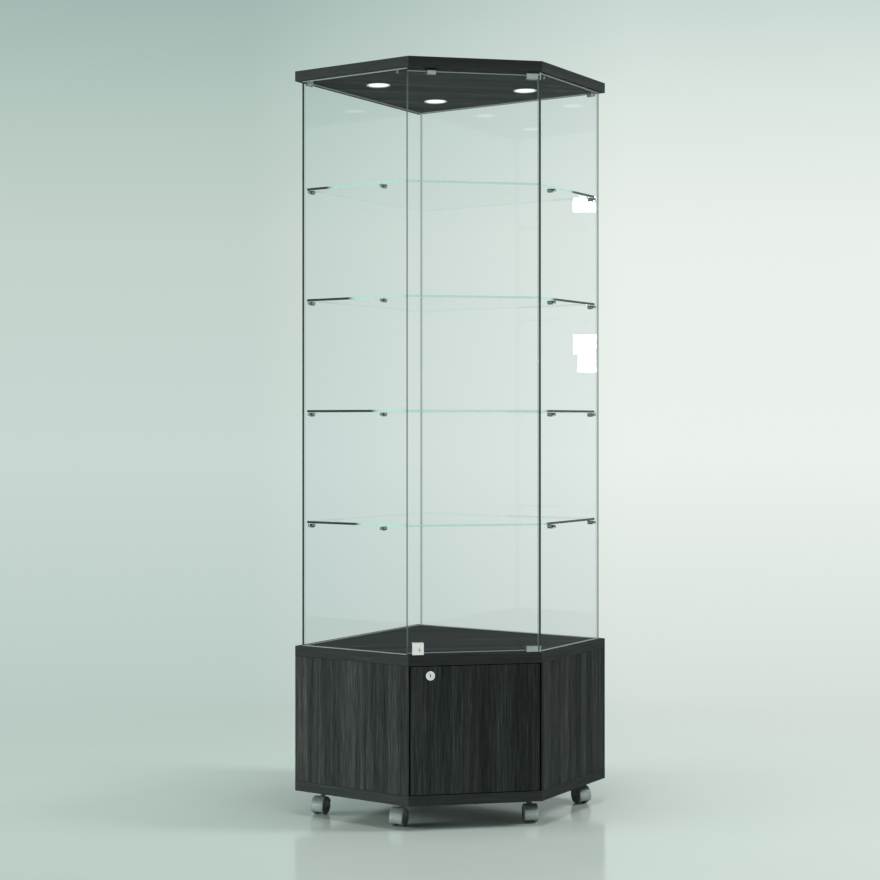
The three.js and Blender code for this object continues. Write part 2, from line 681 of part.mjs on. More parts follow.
function buildCabinet() {
  const cabinet = new THREE.Group();
  cabinet.name = 'corner_cabinet';
  const add = (name, body, finish) => {
    const mesh = body.getMesh();
    const geometry = new THREE.BufferGeometry();
    geometry.setAttribute('position', new THREE.BufferAttribute(Float32Array.from(mesh.vertProperties), 3));
    geometry.setIndex(new THREE.BufferAttribute(Uint32Array.from(mesh.triVerts), 1));
    geometry.computeVertexNormals();
    const piece = new THREE.Mesh(geometry, new THREE.MeshStandardMaterial(finishes[finish]));
    piece.name = name;
    cabinet.add(piece);
  };
  addCasters(add);
  addBaseCase(add);
  addBaseDoor(add);
  addGlassCase(add);
  addGlassDoor(add);
  addTop(add);
  return cabinet;
}

export default buildCabinet();
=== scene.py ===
import math

import bmesh
import bpy
from mathutils import Matrix, Vector


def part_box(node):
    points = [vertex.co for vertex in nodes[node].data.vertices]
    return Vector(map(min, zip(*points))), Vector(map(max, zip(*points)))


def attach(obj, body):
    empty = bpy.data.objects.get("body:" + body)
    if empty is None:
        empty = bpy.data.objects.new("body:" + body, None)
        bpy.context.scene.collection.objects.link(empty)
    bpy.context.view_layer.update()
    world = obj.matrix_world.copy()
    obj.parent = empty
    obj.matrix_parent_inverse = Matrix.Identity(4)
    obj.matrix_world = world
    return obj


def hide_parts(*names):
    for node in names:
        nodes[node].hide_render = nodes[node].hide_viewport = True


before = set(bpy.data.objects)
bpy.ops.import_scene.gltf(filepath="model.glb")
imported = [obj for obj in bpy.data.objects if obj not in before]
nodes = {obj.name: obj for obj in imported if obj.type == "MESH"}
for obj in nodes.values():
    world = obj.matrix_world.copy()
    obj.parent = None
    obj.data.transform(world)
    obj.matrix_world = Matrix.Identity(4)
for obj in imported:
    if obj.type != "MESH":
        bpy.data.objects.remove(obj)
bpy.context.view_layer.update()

DIAGONAL = math.sqrt(0.5)
UPWARDS = (0.0, 0.0, 1.0)
SIDES = ("left", "right")
WHITE = (1.0, 1.0, 1.0)

# Camera: place, view direction in radians from X, lengths and places in pixels of the picture,
# and width of the sensor in millimetres
PICTURE = 880
CAMERA_PLACE = Vector((-1.03623, -4.40710, 0.97640))
CAMERA_TURN = 1.3793
FOCAL_PIXELS = 1754.03
HORIZON_PIXEL = 422.29
CENTRE_PIXEL = 376.07
SENSOR = 36.0

# Rounding of edges, and the bends that count as an edge
BOARD_EDGE = 0.0007
PANE_EDGE = 0.0009
METAL_EDGE = 0.0008
PLATE_EDGE = 0.0002
BEND_ANGLE = 30.0
FITTING_BEND_ANGLE = 50.0
SMOOTH_ANGLE = 35.0
FLAT_ANGLE = 1.0
WELD_GAP = 0.00001
NORMAL_WEIGHT = 50

# Steps round a turned piece
COARSE_STEPS = 32
STUD_STEPS = 36
ROUND_STEPS = 40
FINE_STEPS = 64

# Grazing angles: blend of the node that finds them, and the power that its result is raised to
GRAZE_BLEND = 0.5
GRAZE_POWER = 5.0

# Board: how far the streaks are drawn out, and the scale, detail and roughness of their noises
UPRIGHT_STRETCH = 0.02
LEVEL_STRETCH = 0.025
BROAD_STREAKS = (95.0, 3.0, 0.55)
FINE_STREAKS = (420.0, 2.0, 0.6)
PORE_STREAKS = (900.0, 1.0)
WARM_STREAKS = (45.0, 1.0)
WIDE_STREAKS = (30.0, 1.5)

# Board: colours along each noise. All but the shades tint what lies below them.
BOARD_SHADES = (
    (0.36, (0.037, 0.0430, 0.0423)),
    (0.48, (0.050, 0.0568, 0.0558)),
    (0.56, (0.063, 0.0706, 0.0692)),
    (0.68, (0.090, 0.0990, 0.0968)),
)
WARM_TINTS = ((0.52, WHITE), (0.66, (1.11, 1.0, 0.97)))
WIDE_TINTS = ((0.36, (0.80, 0.80, 0.80)), (0.64, (1.22, 1.21, 1.20)))
PORE_TINTS = (
    (0.40, (0.70, 0.70, 0.70)),
    (0.49, (0.97, 0.97, 0.97)),
    (0.60, WHITE),
    (0.68, (1.4, 1.4, 1.4)),
)

# Board: brighter tone of the top panel, which is painted light for the stronger light on it,
# plainness of edge bands, and the upright part of a normal from which a face counts as level
CROWN_LIT_TONE = 1.25
BAND_PLAINNESS = 0.6
LEVEL_FACE = 0.5

# Board: shares of broad and fine streaks in the shades, and of fine streaks and pores in relief
SHADE_SHARES = (0.5, 0.5)
RELIEF_SHARES = (0.6, 0.4)

# Board: roughness, relief, and sheen at grazing angles
BOARD_ROUGH, BOARD_ROUGH_RANGE = 0.46, 0.25
BOARD_BUMP, BOARD_BUMP_DEPTH = 0.25, 0.0003
SHEEN, SHEEN_ROUGH = 0.05, 0.3

# Glass: tint of each face, smears on it, and the share that it mirrors more at grazing angles
PANE_TINT = (0.980, 0.987, 0.991, 1.0)
SHELF_TINT = (0.994, 0.998, 0.996, 1.0)
SMEARS, SMEAR_ROUGH = (3.0, 3.0), 0.002
GRAZE_GAIN = 24.0

# Glass: a face is an edge where the cosine of its turn from the pane's own faces is below this
EDGE_COSINE = 0.97

# Glass: surface and painted glow of the edges, and their cloudy spots
EDGE_ROUGH, EDGE_SPECULAR = 0.18, 0.15
PANE_GLOW = 0.2
SHELF_GLOW = 0.36
CLOUDS, CLOUD_SHARE = (60.0, 2.0), 0.3
EDGE_DEEP = (0.10, 0.16, 0.14)

# Glass: painted highlights, pale bands along the top and bottom of an upright pane
GLINT_WIDTH = 0.0015
GLINT_OPACITY = 0.7
EDGE_GLINT = (0.46, 0.50, 0.48)

# Glass: painted colour and opacity of the edges. The dark and grey ones are painted shade, the pale
# ones are painted reflections, and the aqua one is the glass's own green under a painted glow.
EDGE_DARK = (0.006, 0.014, 0.012, 1.0)
EDGE_SHADE = (0.030, 0.045, 0.040, 1.0)
EDGE_GREY = (0.12, 0.155, 0.15, 0.85)
EDGE_PALE = (0.22, 0.27, 0.255, 0.7)
EDGE_SHEEN = (0.32, 0.38, 0.36, 0.6)
EDGE_AQUA = (0.36, 0.95, 0.74, 0.42)
EDGE_CLEAR = (0.40, 0.50, 0.47, 0.12)

# Upright panes: direction of the faces, painted edge colours at low and high x, mirror share, and
# the share of the length from low x that counts as edge, painted in the edge colour at low x
PANES = {
    "glass_side_left": ((-DIAGONAL, -DIAGONAL, 0.0), EDGE_DARK, EDGE_GREY, 0.010, 0.018),
    "glass_side_right": ((DIAGONAL, -DIAGONAL, 0.0), EDGE_SHADE, EDGE_PALE, 0.006, 0.0),
    "glass_back_left": ((-DIAGONAL, DIAGONAL, 0.0), EDGE_CLEAR, EDGE_SHEEN, 0.020, 0.0),
    "glass_back_right": ((DIAGONAL, DIAGONAL, 0.0), EDGE_SHEEN, EDGE_CLEAR, 0.035, 0.0),
    "glass_door": ((0.0, 1.0, 0.0), EDGE_CLEAR, EDGE_PALE, 0.008, 0.0),
}
PANE_STOPS = (0.3, 0.7)

# Shelves: shares of the width where the edge turns from dark painted shade to aqua and back, half
# the width of that change, and the share that the faces mirror
SHELF_ENDS = {1: (0.150, 0.754), 2: (0.195, 0.754), 3: (0.130, 0.784), 4: (0.069, 0.880)}
SHELF_BLUR = 0.01
SHELF_MIRROR = 0.007

# Shelves: the painted edge colours along the back walls are faint
REAR_REACH = 0.003
REAR_FADE = 0.9

# Metals: colour, roughness, and strength of the brush marks
METALS = {
    "chrome": ((0.93, 0.95, 0.94), 0.12, 0.0),
    "satin_steel": ((0.42, 0.47, 0.45), 0.30, 0.3),
    "stud_steel": ((0.34, 0.37, 0.36), 0.26, 0.3),
    "bezel": ((0.72, 0.75, 0.74), 0.25, 0.0),
}

# Metals: scale and detail of the noises for polish, brush marks and tone
POLISH, POLISH_RANGE = (900.0, 2.0), 0.1
BRUSH, BRUSH_STRETCH, BRUSH_DEPTH = (4000.0, 1.0), 0.05, 0.0001
METAL_TONES, METAL_SHADE = (120.0, 2.0), 0.9

# Plastics: darker and lighter tone, roughness, and share of metal in a lacquer
PLASTICS = {
    "magnet_case": ((0.02, 0.02, 0.02), (0.035, 0.035, 0.035), 0.4, 0.0),
    # Near-black, painted shade inside the keyways
    "keyway_shade": ((0.012, 0.014, 0.014), (0.02, 0.023, 0.022), 0.5, 0.0),
    "caster_housing": ((0.42, 0.46, 0.45), (0.48, 0.52, 0.51), 0.20, 0.4),
    "caster_wheel": ((0.10, 0.115, 0.11), (0.13, 0.15, 0.145), 0.36, 0.0),
}

# Plastics: scale and detail of the noises for tone and texture
PLASTIC_TONES = (40.0, 3.0)
TEXTURE, TEXTURE_RANGE, TEXTURE_BUMP, TEXTURE_DEPTH = (2500.0, 2.0), 0.12, 0.12, 0.0001

# Where the darker tone of a metal or plastic ends and the lighter one starts
TONE_STOPS = (0.3, 0.7)

# Fittings: the start of a solid's name, and its metal or plastic
FITTING_LOOKS = (
    ("glass_lock", "chrome"),
    ("base_lock", "chrome"),
    ("glass_hinge", "satin_steel"),
    ("catch_plate", "satin_steel"),
    ("corner_bracket", "satin_steel"),
    ("front_clip", "satin_steel"),
    ("catch_magnet", "magnet_case"),
    ("base_hinge_pin", "magnet_case"),
)

# Lens: scale of its cells, their tones, surface and light
LENS_CELLS = 420.0
LENS_TONES = ((0.0, WHITE), (0.9, (0.86, 0.9, 0.9)))
LENS_ROUGH, LENS_LIGHT = 0.35, 1.2
LENS_BUMP, LENS_BUMP_DEPTH = 0.2, 0.0004

# Lens: radius, bulge, place above the bezel's face, thickness of its rim, and rings of its dome
LENS_RADIUS = 0.0245
LENS_BULGE = 0.0011
LENS_SEAT = 0.0015
LENS_RIM = 0.002
LENS_RINGS = 8

# Bezel of a downlight: (height, radius) from the shell down round its lip and up its throat
BEZEL_PROFILE = (
    (0.0150, 0.0258),
    (0.0021, 0.0258),
    (0.0020, 0.0297),
    (0.0011, 0.0300),
    (0.0004, 0.0296),
    (0.0000, 0.0286),
    (0.0000, 0.0272),
    (0.0005, 0.0262),
    (0.0013, 0.0259),
    (0.0016, 0.0254),
    (0.0017, 0.0246),
    (0.0150, 0.0240),
)

# Key slots: x and z of the middle, and height, for each lock. A near-black block, painted shade
# in the keyway, lies between two depths.
KEY_SLOTS = {"glass": (-0.13732, 0.4323, 0.0046), "base": (-0.11186, 0.3710, 0.0064)}
KEY_WIDTH = 0.0022
KEY_DEPTHS = (0.0003, 0.0010)
KEY_EDGE = 0.0002
KEY_EDGE_SEGMENTS = 2

# Shelf studs: (height, radius) from the rounded end along the rod and the shank to the head
STUD_RADIUS = 0.0055
STUD_PROFILE = (
    (0.0000, 0.0),
    (0.0000, 0.0047),
    (0.0003, 0.0053),
    (0.0009, STUD_RADIUS),
    (0.0028, STUD_RADIUS),
    (0.0031, 0.0052),
    (0.0037, 0.0052),
    (0.0040, STUD_RADIUS),
    (0.0123, STUD_RADIUS),
    (0.0128, 0.0052),
    (0.0130, 0.0045),
    (0.0130, 0.0025),
    (0.0196, 0.0025),
    (0.0196, 0.0036),
    (0.0198, 0.0040),
    (0.0203, 0.0040),
    (0.0207, 0.0034),
    (0.0208, 0.0020),
    (0.0208, 0.0),
)

# Shelf studs: height of the shelf's seat above the axis, end of the rod, and middle of the length
STUD_SEAT = 0.0040
STUD_ROD = 0.0131
STUD_MIDDLE = 0.0104

# Casters: turn of each about the vertical, and the swivel axis behind its wheels
CASTER_TURNS = {
    "back": 0.0,
    "left": -37.8,
    "front_left": -36.0,
    "front_right": -5.4,
    "right": 18.0,
}
CASTER_TRAIL = 0.012

# Casters: (distance from the middle, radius) of a wheel, from the gap over the tread to the cover
WHEEL_PROFILE = (
    (0.0040, 0.0038),
    (0.0040, 0.0193),
    (0.0044, 0.0203),
    (0.0053, 0.0208),
    (0.0072, 0.0210),
    (0.0135, 0.0210),
    (0.0152, 0.0206),
    (0.0163, 0.0197),
    (0.0169, 0.0184),
    (0.0170, 0.0172),
    (0.0167, 0.0166),
    (0.0157, 0.0163),
    (0.0155, 0.0158),
    (0.0159, 0.0132),
    (0.0163, 0.0097),
    (0.0165, 0.0060),
    (0.0161, 0.0055),
    (0.0161, 0.0049),
    (0.0165, 0.0044),
    (0.0168, 0.0027),
    (0.0169, 0.0),
)
AXLE_PROFILE = ((-0.0047, 0.0), (-0.0047, 0.0034), (0.0047, 0.0034), (0.0047, 0.0))

# Hood: its radii, where it starts and ends round the axle, and how it thins out at both ends
HOOD_INNER = 0.0222
HOOD_OUTER = 0.0244
HOOD_BACK = -72.0
HOOD_FRONT = 118.8
HOOD_STEPS = 44
HOOD_THINNING = (0.55, 0.82, 0.95)

# Hood: (x, radius) round its shoulder, and the distance from the middle where its flat top ends
HOOD_SHOULDER = (
    (0.0170, HOOD_INNER),
    (0.0170, HOOD_OUTER - 0.0016),
    (0.0167, HOOD_OUTER - 0.0010),
    (0.0161, HOOD_OUTER - 0.0005),
    (0.0152, HOOD_OUTER - 0.0002),
)
HOOD_FLAT = 0.0070

# Web between the wheels: radius and steps of its arc, degrees that its ends stay inside the
# hood's ends, (y, z) of its foot round the boss, and half its thickness
WEB_RADIUS = 0.0230
WEB_STEPS = 30
WEB_MARGIN = 2.0
WEB_FOOT = ((-0.0068, -0.0042), (0.0028, -0.0066), (0.0074, -0.0020))
WEB_HALF = 0.0035

# Boss round the axle, and neck and stem on the swivel axis: (height, radius)
BOSS_PROFILE = ((-0.0036, 0.0038), (-0.0036, 0.0074), (0.0036, 0.0074), (0.0036, 0.0038))
NECK_PROFILE = (
    (0.0190, 0.0),
    (0.0190, 0.0035),
    (0.0226, 0.0035),
    (0.0243, 0.0082),
    (0.0252, 0.0071),
    (0.0268, 0.0063),
    (0.0300, 0.0060),
    (0.0382, 0.0060),
    (0.0387, 0.0055),
    (0.0387, 0.0),
)
STEM_PROFILE = (
    (0.0370, 0.0),
    (0.0370, 0.0044),
    (0.0530, 0.0044),
    (0.0534, 0.0039),
    (0.0544, 0.0039),
    (0.0548, 0.0044),
    (0.0575, 0.0044),
    (0.0588, 0.0034),
    (0.0588, 0.0),
)

# Room as it is seen: colours from low to high, a tint for the left, and the ranges of both
ROOM_HEIGHTS = (-0.2, 0.3)
ROOM_COLOURS = (
    (0.08, (0.66, 0.73, 0.68)),
    (0.36, (0.83, 0.88, 0.84)),
    (0.61, (0.82, 0.87, 0.815)),
    (0.745, (0.72, 0.80, 0.75)),
    (0.87, (0.58, 0.68, 0.65)),
)
ROOM_WIDTHS = (-0.07, 0.14)
ROOM_LEFT_TINTS = ((0.1, (0.74, 0.81, 0.81)), (0.9, (0.62, 0.70, 0.68)))

# Room as a light: its power from front to back, and that of a low wall on the left
ROOM_LIGHT = (0.86, 0.95, 0.915, 1.0)
ROOM_DEPTHS, ROOM_POWERS = (-1.0, 0.4), (0.10, 0.20)
WALL_REACH, WALL_POWER = (-0.4, -0.9), 0.75
WALL_HEIGHTS = (0.5, 0.1)

# Floor: size, colours, polish, and where it fades into the room
FLOOR_RADIUS = 4.0
FLOOR_SEGMENTS = 96
FLOOR_TONES = (1.5, 3.0)
FLOOR_TINTS = ((0.3, (0.75, 0.86, 0.79)), (0.7, (0.78, 0.89, 0.82)))
FLOOR_POLISH, FLOOR_ROUGH, FLOOR_ROUGH_RANGE = (6.0, 3.0), 0.10, 0.06
FLOOR_IOR = 1.4
FLOOR_FADE = (0.7, 1.9)

# Lamps: place, target, width and height, power and colour
LAMPS = {
    "lamp_left": ((-5.0, 0.15, 1.1), (0.0, 0.0, 0.4), (2.0, 1.0), 142.0, (0.92, 1.0, 0.99)),
    "lamp_over": ((0.0, -0.5, 7.0), (0.0, 0.0, 0.0), (1.2, 1.2), 140.0, WHITE),
    "lamp_right": ((2.9, -1.0, 2.4), (0.0, 0.0, 0.9), (0.7, 0.9), 53.0, WHITE),
}

# Windows far to the left, which show as white patches in the right back pane: lowest and highest
# level, nearest and farthest y. Their power is per square metre.
WINDOW_X = -9.0
WINDOW_POWER = 140.0
WINDOWS = {
    "window_upper": (2.695, 2.815, -3.30, -2.983),
    "window_lower": (1.532, 1.688, -3.30, -2.988),
    "window_foot": (1.387, 1.532, -3.30, -3.030),
}


class Shader:
    """A node tree that is built from left to right."""

    def __init__(self, name, world=False):
        self.owner = (bpy.data.worlds if world else bpy.data.materials).new(name)
        self.owner.use_nodes = True
        self.tree = self.owner.node_tree
        self.tree.nodes.clear()

    def add(self, kind, inputs=None, **settings):
        node = self.tree.nodes.new("ShaderNode" + kind)
        for key, value in settings.items():
            setattr(node, key, value)
        for key, value in (inputs or {}).items():
            self.feed(node, key, value)
        return node

    def feed(self, node, key, value):
        """Links an output to a node's input, or sets the input to a value."""
        if isinstance(value, bpy.types.NodeSocket):
            self.tree.links.new(value, node.inputs[key])
        else:
            node.inputs[key].default_value = value

    def math(self, operation, a, b=0.0, c=0.0):
        return self.add("Math", {0: a, 1: b, 2: c}, operation=operation).outputs[0]

    def scaled(self, value, factor, start):
        """A value times a factor, counted from a start."""
        return self.math("MULTIPLY_ADD", value, factor, start)

    def shared(self, a, b, shares):
        """The sum of two values by their shares."""
        return self.scaled(a, shares[0], self.math("MULTIPLY", b, shares[1]))

    def vector(self, operation, a, b, output=0):
        return self.add("VectorMath", {0: a, 1: b}, operation=operation).outputs[output]

    def place(self):
        return self.add("TexCoord").outputs["Object"]

    def normal(self):
        return self.add("TexCoord").outputs["Normal"]

    def parts(self, vector):
        return self.add("SeparateXYZ", {0: vector}).outputs

    def spread(self, value, ends, to=(0.0, 1.0)):
        """Maps a value from one range to another, and clamps it there."""
        inputs = {"Value": value, "From Min": ends[0], "From Max": ends[1]}
        inputs.update({"To Min": to[0], "To Max": to[1]})
        return self.add("MapRange", inputs).outputs[0]

    def noise(self, vector, scale, detail, roughness=0.5):
        inputs = {"Vector": vector, "Scale": scale, "Detail": detail, "Roughness": roughness}
        return self.add("TexNoise", inputs).outputs[0]

    def ramp_outputs(self, value, stops):
        """Colour and opacity along a value. A stop is a position and a colour."""
        node = self.add("ValToRGB", {0: value})
        line = node.color_ramp.elements
        while len(line) < len(stops):
            line.new(0.5)
        for element, (position, colour) in zip(line, stops):
            element.position = position
            element.color = (*colour, 1.0)[:4]
        return node.outputs

    def ramp(self, value, stops):
        return self.ramp_outputs(value, stops)[0]

    def blend(self, factor, a, b, blend_type="MIX"):
        node = self.add("Mix", data_type="RGBA", blend_type=blend_type)
        self.feed(node, 0, factor)
        for key, value in ((6, a), (7, b)):
            self.feed(node, key, (*value, 1.0) if isinstance(value, tuple) else value)
        return node.outputs[2]

    def bump(self, height, strength, distance):
        inputs = {"Height": height, "Strength": strength, "Distance": distance}
        return self.add("Bump", inputs).outputs[0]

    def graze(self):
        """Rises from 0 where a face is seen square on to 1 where it is seen along itself."""
        facing = self.add("LayerWeight", {"Blend": GRAZE_BLEND}).outputs["Facing"]
        return self.math("POWER", facing, GRAZE_POWER)

    def principled(self, **inputs):
        named = {key.replace("_", " "): value for key, value in inputs.items()}
        for key, value in named.items():
            if isinstance(value, tuple) and len(value) == 3:
                named[key] = (*value, 1.0)
        return self.add("BsdfPrincipled", named).outputs[0]

    def mix(self, factor, a, b):
        return self.add("MixShader", {0: factor, 1: a, 2: b}).outputs[0]

    def finish(self, surface):
        self.add("OutputMaterial", {"Surface": surface})
        return self.owner


def set_material(piece, material):
    piece.data.materials.clear()
    piece.data.materials.append(material)


def wood(name, grain, tone=1.0):
    """Dark streaked laminate. grain is "upright" on boards, or "level" on panels and their
    edge bands."""
    s = Shader(name)
    place = s.place()
    if grain == "upright":
        streaks = s.vector("MULTIPLY", place, (1.0, 1.0, UPRIGHT_STRETCH))
    else:
        band = s.vector("MULTIPLY", place, (LEVEL_STRETCH, LEVEL_STRETCH, 1.0))
        face = s.vector("MULTIPLY", place, (LEVEL_STRETCH, 1.0, 1.0))
        flat = s.math("GREATER_THAN", s.math("ABSOLUTE", s.parts(s.normal())[2]), LEVEL_FACE)
        streaks = s.blend(flat, band, face)
    broad = s.noise(streaks, *BROAD_STREAKS)
    fine = s.noise(streaks, *FINE_STREAKS)
    pores = s.noise(streaks, *PORE_STREAKS)
    shades = [(stop, tuple(tone * c for c in colour)) for stop, colour in BOARD_SHADES]
    colour = s.ramp(s.shared(broad, fine, SHADE_SHARES), shades)
    for tint in (
        s.ramp(s.noise(streaks, *WARM_STREAKS), WARM_TINTS),
        s.ramp(s.noise(streaks, *WIDE_STREAKS), WIDE_TINTS),
        s.ramp(pores, PORE_TINTS),
    ):
        colour = s.blend(1.0, colour, tint, "MULTIPLY")
    if grain == "level":
        plain = s.math("MULTIPLY", s.math("SUBTRACT", 1.0, flat), BAND_PLAINNESS)
        colour = s.blend(plain, colour, shades[1][1])
    rough = s.scaled(fine, BOARD_ROUGH_RANGE, BOARD_ROUGH)
    bumps = s.bump(s.shared(fine, pores, RELIEF_SHARES), BOARD_BUMP, BOARD_BUMP_DEPTH)
    matt = s.principled(Base_Color=colour, Roughness=rough, Specular_IOR_Level=0.0, Normal=bumps)
    shine = s.add("BsdfGlossy", {"Roughness": SHEEN_ROUGH, "Normal": bumps}).outputs[0]
    return s.finish(s.mix(s.math("MULTIPLY", s.graze(), SHEEN), matt, shine))


def pane_edges(s, normal, along, stops):
    """Where a pane's edges are, and their colour and opacity along x."""
    facing = s.vector("DOT_PRODUCT", s.normal(), normal, 1)
    edge = s.math("LESS_THAN", s.math("ABSOLUTE", facing), EDGE_COSINE)
    colour, opacity = s.ramp_outputs(along, stops)
    return edge, colour, opacity


def pane_surface(s, edge, colour, opacity, glow, tint, reflect):
    """Clear faces that mirror a share of the room, and edges with painted colour and a painted
    glow.
    """
    cloudy = s.math("MULTIPLY", s.noise(s.place(), *CLOUDS), CLOUD_SHARE)
    colour = s.blend(cloudy, colour, EDGE_DEEP)
    edge_surface = s.principled(
        Base_Color=colour,
        Roughness=EDGE_ROUGH,
        Specular_IOR_Level=EDGE_SPECULAR,
        Emission_Color=colour,
        Emission_Strength=glow,
    )
    clear = s.add("BsdfTransparent", {"Color": tint}).outputs[0]
    smear = s.math("MULTIPLY", s.noise(s.place(), *SMEARS), SMEAR_ROUGH)
    shine = s.add("BsdfGlossy", {"Color": (*WHITE, 1.0), "Roughness": smear}).outputs[0]
    gain = s.scaled(s.graze(), GRAZE_GAIN, 1.0)
    face_surface = s.mix(s.math("MULTIPLY", gain, reflect), clear, shine)
    return s.finish(s.mix(s.math("MULTIPLY", edge, opacity), face_surface, edge_surface))


def upright_glass(name, normal, near, far, reflect, rim):
    """Pane on end, with painted highlights as pale bands along its top and bottom."""
    s = Shader(name)
    low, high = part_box(name)
    place = s.parts(s.place())
    along = s.spread(place[0], (low.x, high.x))
    edge, colour, opacity = pane_edges(s, normal, along, tuple(zip(PANE_STOPS, (near, far))))
    # Pale bands along the top and bottom: painted highlights where the edges catch the light
    below, above = s.math("SUBTRACT", place[2], low.z), s.math("SUBTRACT", high.z, place[2])
    band = s.math("LESS_THAN", s.math("MINIMUM", below, above), GLINT_WIDTH)
    colour = s.blend(band, colour, EDGE_GLINT)
    opacity = s.math("MAXIMUM", opacity, band)
    edge = s.math("MAXIMUM", edge, s.math("MULTIPLY", band, GLINT_OPACITY))
    # A strip at low x, where a rim is set, takes the edge colour at low x: a painted dark corner
    # line
    edge = s.math("MAXIMUM", edge, s.math("LESS_THAN", along, rim))
    return pane_surface(s, edge, colour, opacity, PANE_GLOW, PANE_TINT, reflect)


def shelf_glass(name, left, right):
    """Shelf, whose front edges are painted dark near the sides, as painted shade, and aqua between.
    """
    s = Shader(name)
    low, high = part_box(name)
    place = s.parts(s.place())
    along = s.spread(place[0], (low.x, high.x))
    # Painted shade at both ends of the front edge, aqua with a painted glow between
    stops = (
        (left - SHELF_BLUR, EDGE_DARK),
        (left + SHELF_BLUR, EDGE_AQUA),
        (right - SHELF_BLUR, EDGE_AQUA),
        (right + SHELF_BLUR, EDGE_SHADE),
    )
    edge, colour, opacity = pane_edges(s, UPWARDS, along, stops)
    depth = s.math("ADD", s.math("ABSOLUTE", place[0]), place[1])
    rear = s.math("GREATER_THAN", depth, high.y - REAR_REACH)
    seen = s.math("SUBTRACT", 1.0, s.math("MULTIPLY", rear, REAR_FADE))
    opacity = s.math("MULTIPLY", opacity, seen)
    return pane_surface(s, edge, colour, opacity, SHELF_GLOW, SHELF_TINT, SHELF_MIRROR)


def metal(name, colour, rough, brushed):
    """Plated or satin metal with a fine uneven polish."""
    s = Shader(name)
    place = s.place()
    grain = s.noise(s.vector("MULTIPLY", place, (1.0, 1.0, BRUSH_STRETCH)), *BRUSH)
    tones = (tuple(METAL_SHADE * c for c in colour), colour)
    return s.finish(
        s.principled(
            Base_Color=s.ramp(s.noise(place, *METAL_TONES), tuple(zip(TONE_STOPS, tones))),
            Metallic=1.0,
            Roughness=s.scaled(s.noise(place, *POLISH), POLISH_RANGE, rough),
            Normal=s.bump(grain, brushed, BRUSH_DEPTH),
        )
    )


def plastic(name, dark, light, rough, metallic):
    """Moulded plastic with a fine texture. A metallic one is lacquered."""
    s = Shader(name)
    place = s.place()
    texture = s.noise(place, *TEXTURE)
    return s.finish(
        s.principled(
            Base_Color=s.ramp(
                s.noise(place, *PLASTIC_TONES), tuple(zip(TONE_STOPS, (dark, light)))
            ),
            Metallic=metallic,
            Roughness=s.scaled(texture, TEXTURE_RANGE, rough),
            Normal=s.bump(texture, TEXTURE_BUMP, TEXTURE_DEPTH),
        )
    )


def lens_material():
    """Frosted lens that is lit from behind, with cells that are a little weaker at their rims."""
    s = Shader("lens")
    cells = s.add("TexVoronoi", {"Vector": s.place(), "Scale": LENS_CELLS}).outputs["Distance"]
    glow = s.ramp(cells, LENS_TONES)
    return s.finish(
        s.principled(
            Base_Color=glow,
            Roughness=LENS_ROUGH,
            Emission_Color=glow,
            Emission_Strength=LENS_LIGHT,
            Normal=s.bump(cells, LENS_BUMP, LENS_BUMP_DEPTH),
        )
    )


def soften(piece, width, segments=2, angle=BEND_ANGLE):
    """Rounds a CAD solid's edges by modifiers, so that its own mesh stays as it is."""
    weld = piece.modifiers.new("weld", "WELD")
    weld.merge_threshold = WELD_GAP
    flat = piece.modifiers.new("flat", "DECIMATE")
    flat.decimate_type = "DISSOLVE"
    flat.angle_limit = math.radians(FLAT_ANGLE)
    edge = piece.modifiers.new("edge", "BEVEL")
    edge.width = width
    edge.segments = segments
    edge.limit_method = "ANGLE"
    edge.angle_limit = math.radians(angle)
    edge.use_clamp_overlap = True
    level = piece.modifiers.new("level", "WEIGHTED_NORMAL")
    level.mode = "FACE_AREA"
    level.weight = NORMAL_WEIGHT


def dress_wood():
    upright = wood("wood_upright", "upright")
    level = wood("wood_level", "level")
    # The top panel is a brighter copy of the level wood: painted light
    crown = wood("wood_crown_lit", "level", CROWN_LIT_TONE)
    boards = ["base_door"] + [f"base_{part}_{side}" for part in ("side", "back") for side in SIDES]
    looks = {name: upright for name in boards}
    looks.update({"base_bottom": level, "base_top": level, "top_panel": crown})
    for name, look in looks.items():
        set_material(nodes[name], look)
        soften(nodes[name], BOARD_EDGE)


def dress_glass():
    for name, look in PANES.items():
        set_material(nodes[name], upright_glass(name, *look))
        soften(nodes[name], PANE_EDGE, 1)
    for number, ends in SHELF_ENDS.items():
        name = f"shelf_{number}"
        set_material(nodes[name], shelf_glass(name, *ends))
        soften(nodes[name], PANE_EDGE, 1)


def add_piece(name, form, material, body, slot, *replaced):
    """Makes an object of a bmesh, smooth except along its sharp edges, that rides on a body."""
    form.normal_update()
    for face in form.faces:
        face.smooth = True
    limit = math.radians(SMOOTH_ANGLE)
    for edge in form.edges:
        edge.smooth = len(edge.link_faces) == 2 and edge.calc_face_angle() < limit
    mesh = bpy.data.meshes.new(name)
    form.to_mesh(mesh)
    form.free()
    piece = bpy.data.objects.new(name, mesh)
    bpy.context.scene.collection.objects.link(piece)
    set_material(piece, material)
    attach(piece, body)
    if replaced:
        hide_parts(*replaced)


def turned(form, profile, steps=ROUND_STEPS):
    """Revolves (height, radius) pairs about Z. A profile that starts off the axis is closed."""
    closed = profile[0][1] > 0.0
    rings = []
    for height, radius in profile:
        if radius > 0.0:
            ring = [
                form.verts.new((radius * math.cos(a), radius * math.sin(a), height))
                for a in (2 * math.pi * i / steps for i in range(steps))
            ]
        else:
            ring = [form.verts.new((0.0, 0.0, height))] * steps
        rings.append(ring)
    pairs = list(zip(rings, rings[1:])) + ([(rings[-1], rings[0])] if closed else [])
    for lower, upper in pairs:
        for i in range(steps):
            j = (i + 1) % steps
            corners = list(dict.fromkeys((lower[i], lower[j], upper[j], upper[i])))
            if len(corners) > 2:
                form.faces.new(corners)
    return [v for ring in rings for v in dict.fromkeys(ring)]


